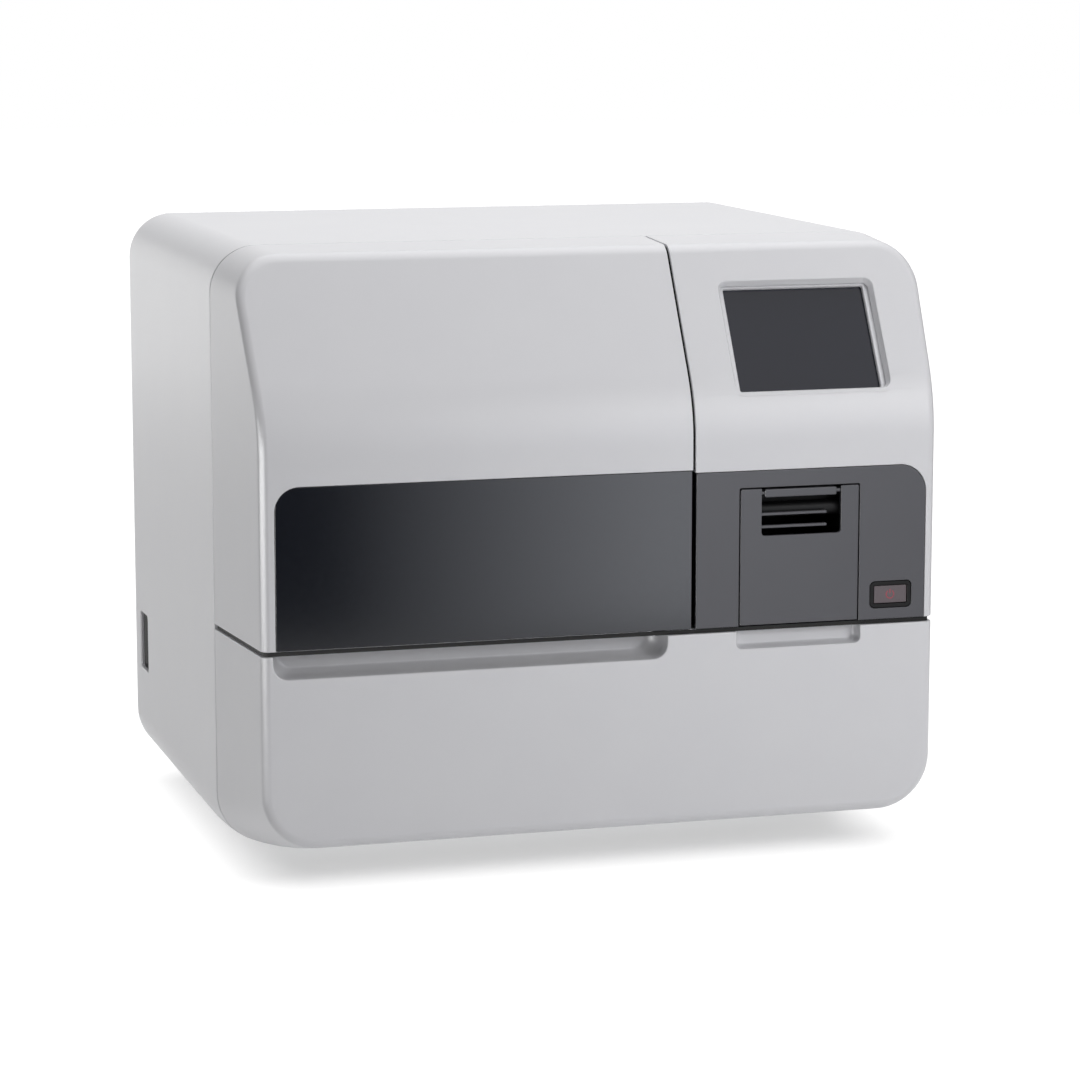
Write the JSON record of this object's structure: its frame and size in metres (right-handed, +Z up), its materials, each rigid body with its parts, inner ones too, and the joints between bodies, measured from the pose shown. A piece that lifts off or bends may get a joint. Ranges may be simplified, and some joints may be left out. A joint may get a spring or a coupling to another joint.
{
  "type": "benchtop coagulation analyzer",
  "caption": "Benchtop blood coagulation analyzer with a hinged light shield cover, smoked window, touch display, printer door and power button.",
  "frame": {"origin": "on the table under the middle of the body", "axes": "+X to the right seen from the front, -Y out of the front, +Z up"},
  "size_m": [0.566, 0.49, 0.49],
  "materials": {
    "housing_plastic": "fine textured moulding, warm light grey",
    "smoked_acrylic": "polished smoked sheet",
    "dark_panel_plastic": "satin dark grey moulding",
    "black_plastic": "matt black moulding",
    "display_glass": "smooth touch panel",
    "button_plastic": "satin grey cap",
    "rubber": "matt black rubber",
    "sheet_metal": "zinc-grey painted sheet",
    "steel": "ground steel",
    "aluminium": "anodised",
    "white_plastic": "smooth white moulding",
    "grey_plastic": "matt grey moulding",
    "paper": "thermal paper",
    "circuit_board": "solder mask"
  },
  "bodies": {
    "body": {"main_housing": "housing_plastic", "side_slot_cup": "black_plastic", "lower_front_cover": "housing_plastic", "hinge_bracket_left": "sheet_metal", "hinge_bracket_right": "sheet_metal", "hinge_beam": "sheet_metal", "right_front_panel": "housing_plastic", "touch_glass": "display_glass", "lcd_module": "black_plastic", "right_dark_panel": "dark_panel_plastic", "printer_body": "black_plastic", "power_button_frame": "black_plastic", "power_switch": "black_plastic", "base_plate": "sheet_metal", "foot_front_left": "rubber", "foot_front_right": "rubber", "foot_rear_left": "rubber", "foot_rear_right": "rubber", "partition_wall": "sheet_metal", "deck_plate": "white_plastic", "deck_support": "sheet_metal", "compartment_wall": "sheet_metal", "sample_rack": "grey_plastic", "reagent_block": "aluminium", "detector_block": "aluminium", "reaction_tube_tray": "white_plastic", "x_rail": "steel", "x_motor": "black_plastic", "x_belt": "rubber", "rinse_cup": "white_plastic", "used_tube_box": "grey_plastic", "rear_panel": "sheet_metal", "power_inlet": "black_plastic", "interface_port": "steel", "fluid_nipples": "steel", "fan_frame": "black_plastic", "power_supply": "sheet_metal", "main_board": "circuit_board", "rinse_pump": "grey_plastic"},
    "cover": {"light_shield_cover": "housing_plastic", "cover_window": "smoked_acrylic", "cover_inner_frame": "black_plastic", "hinge_arm_left": "steel", "hinge_arm_right": "steel"},
    "door": {"printer_door": "dark_panel_plastic"},
    "lever": {"printer_release_lever": "dark_panel_plastic"},
    "platen": {"platen_roller": "rubber"},
    "paper": {"paper_roll": "paper"},
    "button": {"power_button": "button_plastic"},
    "carriage": {"x_carriage": "aluminium", "y_arm": "aluminium"},
    "probe_unit": {"probe_unit": "white_plastic"},
    "probe": {"probe_slider": "aluminium", "sample_probe": "steel"},
    "catcher": {"tube_catcher": "black_plastic"},
    "drive_pulley": {"drive_pulley": "steel"},
    "idler_pulley": {"idler_pulley": "steel"},
    "fan": {"fan_rotor": "black_plastic"}
  },
  "joints": [
    {"name": "cover_hinge", "type": "hinge", "parent": "body", "child": "cover", "pos_m": [-0.1, -0.098, 0.482], "axis": [-1, 0, 0], "range_deg": [0, 65]},
    {"name": "printer_door_hinge", "type": "hinge", "parent": "body", "child": "door", "pos_m": [0.158, -0.238, 0.1995], "axis": [1, 0, 0], "range_deg": [0, 88]},
    {"name": "release_lever_hinge", "type": "hinge", "parent": "door", "child": "lever", "pos_m": [0.1595, -0.2425, 0.2977], "axis": [-1, 0, 0], "range_deg": [0, 25], "stiffness_Nm_per_rad": 0.05},
    {"name": "platen_spin", "type": "hinge", "parent": "door", "child": "platen", "pos_m": [0.158, -0.232, 0.283], "axis": [1, 0, 0], "continuous": true},
    {"name": "paper_roll_spin", "type": "hinge", "parent": "body", "child": "paper", "pos_m": [0.158, -0.183, 0.2203], "axis": [1, 0, 0], "continuous": true},
    {"name": "power_button_push", "type": "slide", "parent": "body", "child": "button", "axis": [0, 1, 0], "range_m": [0, 0.0025], "stiffness_N_per_m": 500},
    {"name": "cross_travel", "type": "slide", "parent": "body", "child": "carriage", "axis": [1, 0, 0], "range_m": [0, 0.23]},
    {"name": "depth_travel", "type": "slide", "parent": "carriage", "child": "probe_unit", "axis": [0, 1, 0], "range_m": [0, 0.09]},
    {"name": "probe_lift", "type": "slide", "parent": "probe_unit", "child": "probe", "axis": [0, 0, 1], "range_m": [-0.055, 0]},
    {"name": "catcher_lift", "type": "slide", "parent": "probe_unit", "child": "catcher", "axis": [0, 0, 1], "range_m": [-0.03, 0]},
    {"name": "drive_pulley_spin", "type": "hinge", "parent": "body", "child": "drive_pulley", "pos_m": [0.0387, 0.051, 0.4368], "axis": [0, 1, 0], "range_deg": [-1470, 10]},
    {"name": "idler_pulley_spin", "type": "hinge", "parent": "body", "child": "idler_pulley", "pos_m": [-0.246, 0.051, 0.4368], "axis": [0, 1, 0], "range_deg": [-1470, 10]},
    {"name": "fan_spin", "type": "hinge", "parent": "body", "child": "fan", "pos_m": [0.163, 0.2262, 0.34], "axis": [0, 1, 0], "continuous": true}
  ],
  "couplings": [
    {"joint": "drive_pulley_spin", "follows": "cross_travel", "rad_per_m": -110.5},
    {"joint": "idler_pulley_spin", "follows": "cross_travel", "rad_per_m": -110.5}
  ]
}
